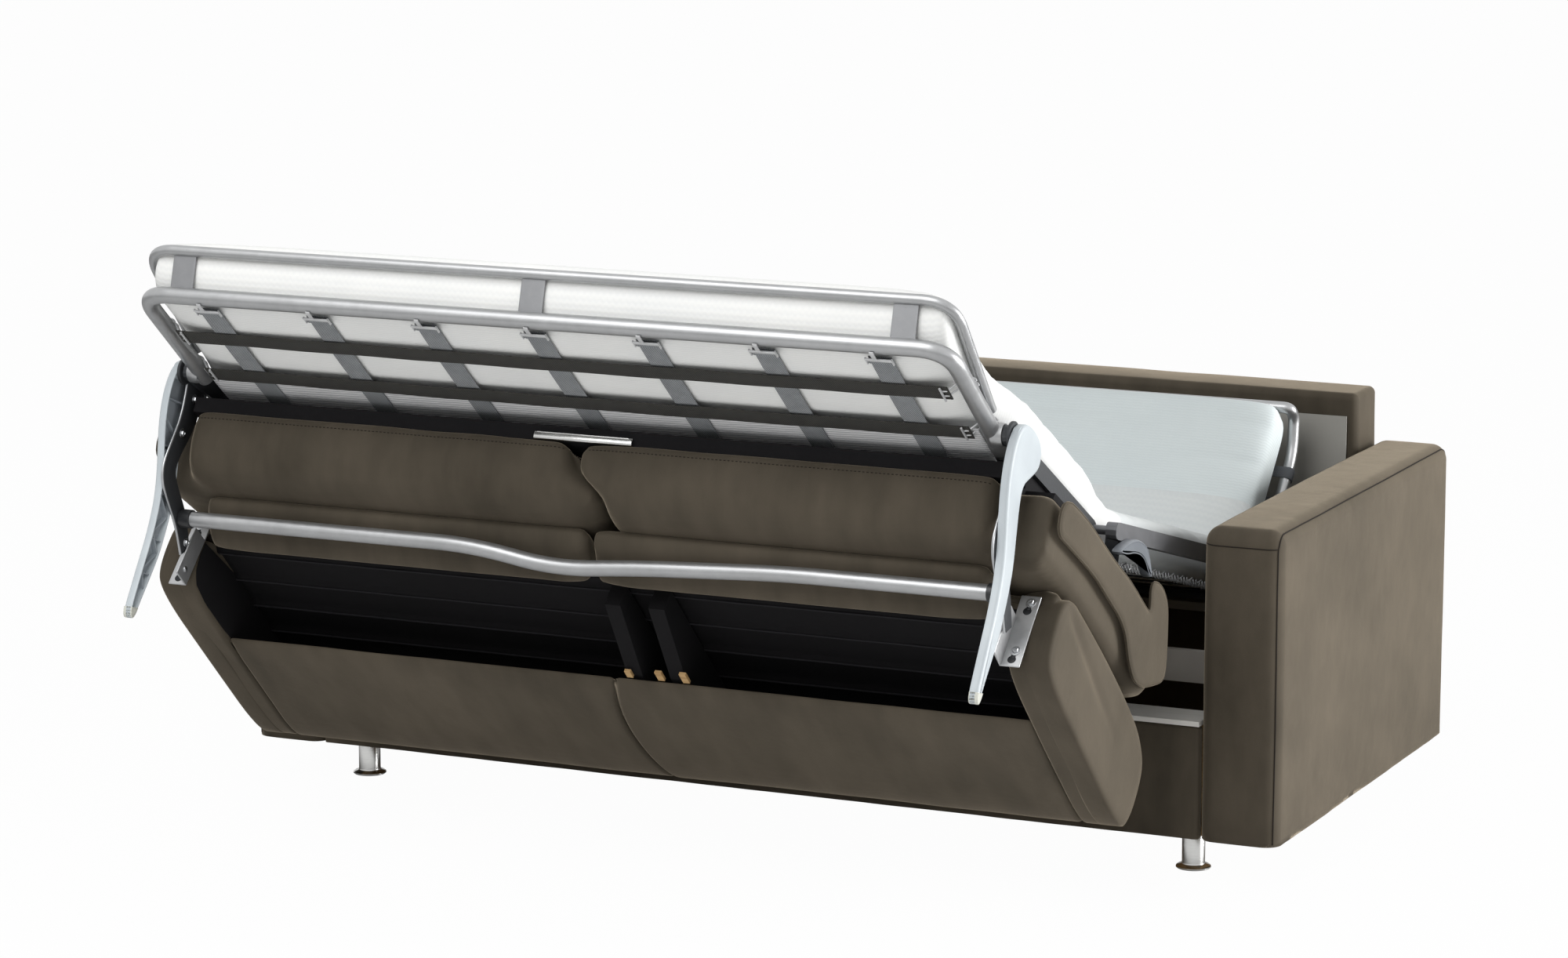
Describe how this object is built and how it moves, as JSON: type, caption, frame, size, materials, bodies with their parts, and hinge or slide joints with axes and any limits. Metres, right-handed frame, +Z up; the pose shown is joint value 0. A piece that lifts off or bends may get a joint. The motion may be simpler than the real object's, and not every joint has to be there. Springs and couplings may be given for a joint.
{
  "type": "sleeper sofa",
  "caption": "Half-unfolded sleeper sofa whose seat and hollow backrest turn over with a folding mattress frame between two upholstered arms.",
  "frame": {"origin": "centre of the bounding box in plan, on the floor under the feet", "axes": "+X along the sofa's width to the right of someone facing it, +Y towards the back, +Z up"},
  "size_m": [2.086, 1.8468, 1.1604],
  "materials": {
    "velvet": "short-pile taupe velvet",
    "timber": "raw plywood and pine",
    "grey_cloth": "plain grey lining cloth",
    "pale_board": "white laminated board",
    "dark_steel": "dark grey powder coat",
    "chrome_steel": "polished plating",
    "grey_plastic": "moulded pale grey plastic",
    "white_quilt": "quilted white ticking",
    "webbing": "woven elastic webbing",
    "black_board": "board covered with black lining cloth",
    "black_cloth": "black non-woven lining cloth",
    "silver_tube": "satin silver powder coat"
  },
  "bodies": {
    "base": {"arm_cover_left": "velvet", "arm_cover_right": "velvet", "arm_frame_left": "timber", "arm_frame_right": "timber", "back_cover": "velvet", "back_frame": "timber", "back_lining": "grey_cloth", "front_panel": "velvet", "front_ledge": "pale_board", "floor_board": "timber", "front_beam": "dark_steel", "side_plate_left": "dark_steel", "side_plate_right": "dark_steel", "foot_front_left": "chrome_steel", "foot_front_right": "chrome_steel", "foot_rear_left": "chrome_steel", "foot_rear_right": "chrome_steel"},
    "middle_section": {"middle_bar_left": "dark_steel", "middle_bar_right": "dark_steel", "middle_tube_rear": "dark_steel", "middle_tube_front": "dark_steel", "spring_mesh": "dark_steel", "hinge_cover_left": "grey_plastic", "hinge_cover_right": "grey_plastic", "mattress_middle": "white_quilt"},
    "head_section": {"head_hoop": "dark_steel", "head_webbing": "webbing", "mattress_head": "white_quilt"},
    "foot_section": {"foot_bar_left": "dark_steel", "foot_bar_right": "dark_steel", "mattress_foot": "white_quilt", "seat_frame": "black_board", "seat_cushion_left": "velvet", "seat_cushion_right": "velvet", "seat_apron_left": "velvet", "seat_apron_right": "velvet", "seat_strip": "black_cloth", "pull_handle": "chrome_steel"},
    "foot_end": {"end_hoop": "silver_tube", "retainer_rail": "silver_tube", "rail_bracket_left": "silver_tube", "rail_bracket_middle": "silver_tube", "rail_bracket_right": "silver_tube", "end_webbing": "webbing", "mattress_end": "white_quilt"},
    "backrest": {"backrest_shell": "velvet", "backrest_panel": "velvet", "backrest_lining": "black_cloth", "backrest_stile_left": "black_board", "backrest_stile_right": "black_board", "backrest_cushion_left": "velvet", "backrest_cushion_right": "velvet", "cross_tube": "silver_tube", "bracket_left": "chrome_steel", "bracket_right": "chrome_steel", "swing_arm_left": "dark_steel", "swing_arm_right": "dark_steel", "leg_left": "grey_plastic", "leg_right": "grey_plastic"}
  },
  "joints": [
    {"name": "frame_lower", "type": "hinge", "parent": "base", "child": "middle_section", "pos_m": [0, 0.43994, 0.1878], "axis": [1, 0, 0], "range_deg": [0, 15]},
    {"name": "head_unfold", "type": "hinge", "parent": "middle_section", "child": "head_section", "pos_m": [0, 0.47644, 0.465], "axis": [1, 0, 0], "range_deg": [-63, 0]},
    {"name": "foot_fold", "type": "hinge", "parent": "middle_section", "child": "foot_section", "pos_m": [0, -0.32915, 0.68085], "axis": [1, 0, 0], "range_deg": [-20, 15.4]},
    {"name": "foot_end_flatten", "type": "hinge", "parent": "foot_section", "child": "foot_end", "pos_m": [0, -0.71296, 0.90604], "axis": [1, 0, 0], "range_deg": [0, 10.2]},
    {"name": "backrest_fold", "type": "hinge", "parent": "foot_section", "child": "backrest", "pos_m": [0, -0.71296, 0.90604], "axis": [1, 0, 0], "range_deg": [-90, 0]}
  ],
  "couplings": [
    {"joint": "head_unfold", "follows": "frame_lower", "ratio": -4.2},
    {"joint": "foot_end_flatten", "follows": "frame_lower", "ratio": 0.68}
  ]
}
